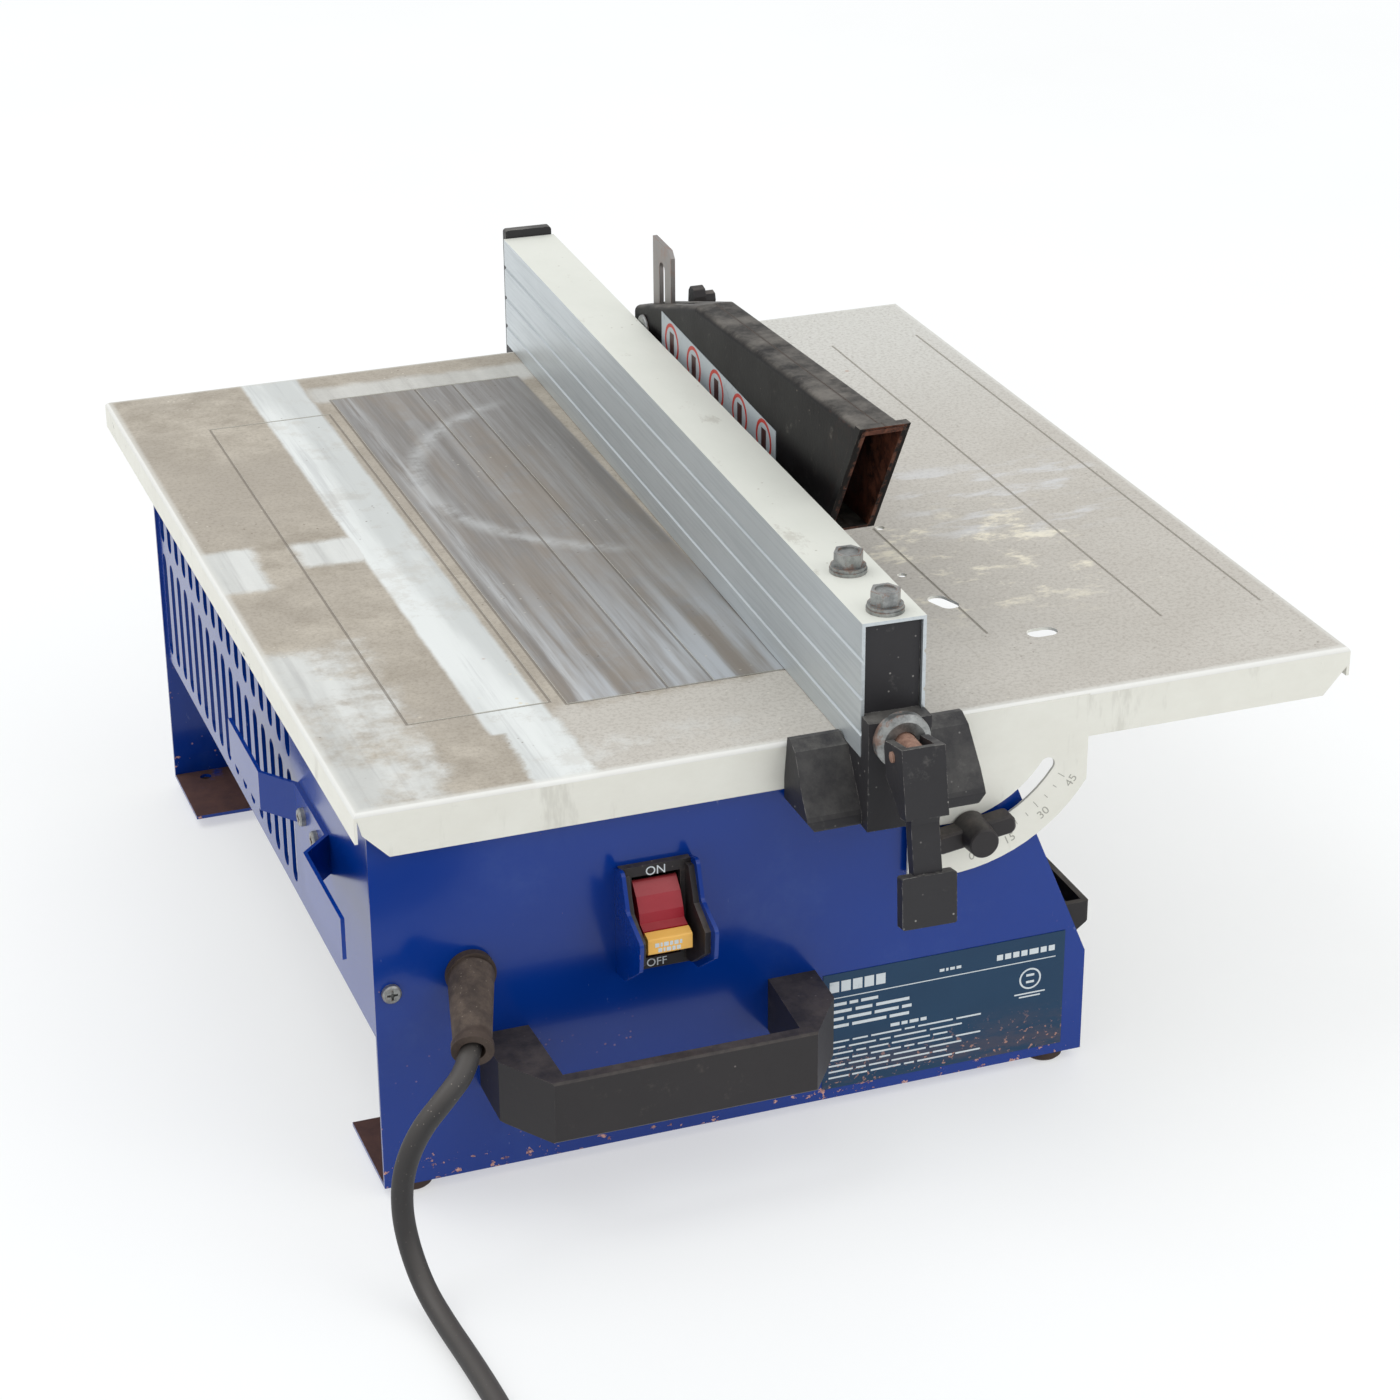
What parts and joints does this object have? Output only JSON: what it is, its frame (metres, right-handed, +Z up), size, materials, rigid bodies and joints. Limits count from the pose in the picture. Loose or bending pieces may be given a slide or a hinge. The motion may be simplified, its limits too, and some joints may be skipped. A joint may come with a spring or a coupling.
{
  "type": "wet tile saw",
  "caption": "Bench-top wet tile saw: folded base, tilting sheet table with clamped rip fence, blade in a water tank under a hinged guard, paddle switch and mains lead.",
  "frame": {"origin": "centre of the four feet, on the surface that the saw stands on", "axes": "+X to the operator's right, +Y away from the operator along the cut, +Z up"},
  "size_m": [0.4005, 0.7756, 0.2506],
  "materials": {
    "blue_paint": "glossy royal blue stoved paint, chipped to rust along the lower edges",
    "table_steel": "zinc-plated sheet, scuffed, with dried slurry",
    "fence_aluminium": "extruded, satin, dusty on top",
    "black_casting": "worn black enamel on a die casting",
    "zinc_steel": "dull zinc plate, rust at the edges",
    "rusty_steel": "bare steel bar with surface rust",
    "bare_steel": "bright machined steel",
    "black_plastic": "moulded, dusty",
    "guard_plastic": "moulded black, rusty slurry inside the mouth",
    "red_plastic": "moulded red",
    "yellow_plastic": "moulded yellow",
    "label_blue": null,
    "label_white": null,
    "boot_rubber": "dusty moulded rubber",
    "cord_rubber": "black flexible jacket",
    "foot_rubber": "dark rubber",
    "blade_steel": "ground blade",
    "motor_paint": "grey motor enamel",
    "lamination": "stacked laminations",
    "copper_winding": "varnished winding",
    "prong_brass": "plug blades",
    "white_plastic": "moulded"
  },
  "bodies": {
    "root": {"front_panel": "blue_paint", "rear_panel": "blue_paint", "left_vent_panel": "blue_paint", "cord_wrap": "blue_paint", "splash_wall": "blue_paint", "right_rail": "blue_paint", "rubber_feet": "foot_rubber", "pan_screws": "zinc_steel", "tilt_studs": "zinc_steel", "tilt_guide_pins": "zinc_steel", "table_rest_pads": "foot_rubber", "riving_knife": "bare_steel", "knife_bracket": "bare_steel", "stator_core": "lamination", "stator_winding": "copper_winding", "motor_housing": "motor_paint", "drive_end_cap": "motor_paint", "fan_end_cap": "motor_paint", "motor_bearings": "bare_steel", "run_capacitor": "white_plastic", "capacitor_clip": "zinc_steel", "switch_housing": "black_plastic", "rating_label": "label_blue", "carry_handle": "black_plastic", "strain_relief": "boot_rubber", "power_cord": "cord_rubber", "cord_coil": "cord_rubber", "plug_body": "cord_rubber", "plug_prongs": "prong_brass", "water_tank": "black_plastic"},
    "table": {"table_top": "table_steel", "rear_quadrant": "table_steel"},
    "fence": {"fence_extrusion": "fence_aluminium", "fence_head": "black_casting", "fence_bolts": "zinc_steel", "fence_washers": "zinc_steel", "clamp_washer": "zinc_steel"},
    "clamp_rod": {"clamp_rod": "rusty_steel", "lever_pin": "rusty_steel", "rear_jaw": "black_casting", "jaw_nut": "zinc_steel"},
    "cam_lever": {"cam_lever": "black_casting"},
    "spindle": {"arbor_shaft": "bare_steel", "rotor_core": "lamination", "cooling_fan": "black_plastic", "inner_flange": "bare_steel", "blade": "blade_steel", "outer_flange": "bare_steel", "arbor_nut": "bare_steel"},
    "front_knob": {"front_tilt_knob": "black_plastic"},
    "rear_knob": {"rear_tilt_knob": "black_plastic"},
    "guard_carrier": {"guard_bolt": "zinc_steel"},
    "guard": {"guard_left_shell": "guard_plastic", "guard_right_shell": "guard_plastic", "guard_shell_screws": "zinc_steel", "guard_label": "label_white"},
    "guard_nut": {"guard_wing_nut": "black_plastic"},
    "switch_paddle": {"switch_paddle": "red_plastic"},
    "safety_key": {"safety_key": "yellow_plastic"},
    "drain_plug": {"drain_plug": "foot_rubber"}
  },
  "joints": [
    {"name": "blade_spin", "type": "hinge", "parent": "root", "child": "spindle", "pos_m": [0.0805, 0.0154, 0.1176], "axis": [1, 0, 0], "continuous": true},
    {"name": "table_tilt", "type": "hinge", "parent": "root", "child": "table", "pos_m": [0.0805, 0, 0.1615], "axis": [0, 1, 0], "range_deg": [0, 45]},
    {"name": "fence_slide", "type": "slide", "parent": "table", "child": "fence", "axis": [1, 0, 0], "range_m": [-0.1, 0]},
    {"name": "clamp_rod_slide", "type": "slide", "parent": "fence", "child": "clamp_rod", "axis": [0.0297, 0.9996, 0], "range_m": [0, 0.0016]},
    {"name": "lever_turn", "type": "hinge", "parent": "clamp_rod", "child": "cam_lever", "pos_m": [0.04642, -0.22749, 0.171], "axis": [-0.9996, 0.0297, 0], "range_deg": [0, 85]},
    {"name": "front_tilt_knob_turn", "type": "hinge", "parent": "root", "child": "front_knob", "pos_m": [0.08807, -0.194, 0.1137], "axis": [0, -1, 0], "continuous": true},
    {"name": "rear_tilt_knob_turn", "type": "hinge", "parent": "root", "child": "rear_knob", "pos_m": [0.08807, 0.194, 0.1137], "axis": [0, 1, 0], "continuous": true},
    {"name": "guard_height", "type": "slide", "parent": "root", "child": "guard_carrier", "axis": [0, 0, 1], "range_m": [-0.008, 0.02]},
    {"name": "guard_pivot", "type": "hinge", "parent": "guard_carrier", "child": "guard", "pos_m": [0.0805, 0.1282, 0.211], "axis": [-1, 0, 0], "range_deg": [0, 30]},
    {"name": "guard_nut_turn", "type": "hinge", "parent": "guard_carrier", "child": "guard_nut", "pos_m": [0.0805, 0.1282, 0.211], "axis": [1, 0, 0], "continuous": true},
    {"name": "paddle_rock", "type": "hinge", "parent": "root", "child": "switch_paddle", "pos_m": [-0.0355, -0.179, 0.0995], "axis": [1, 0, 0], "range_deg": [0, 18]},
    {"name": "key_pull", "type": "slide", "parent": "switch_paddle", "child": "safety_key", "axis": [0, -1, 0], "range_m": [0, 0.02]},
    {"name": "drain_pull", "type": "slide", "parent": "root", "child": "drain_plug", "axis": [1, 0, 0], "range_m": [0, 0.012]}
  ],
  "couplings": [
    {"joint": "fence_slide", "follows": "table_tilt", "m_per_rad": -0.12732},
    {"joint": "clamp_rod_slide", "follows": "lever_turn", "m_per_rad": 0.0010785}
  ]
}
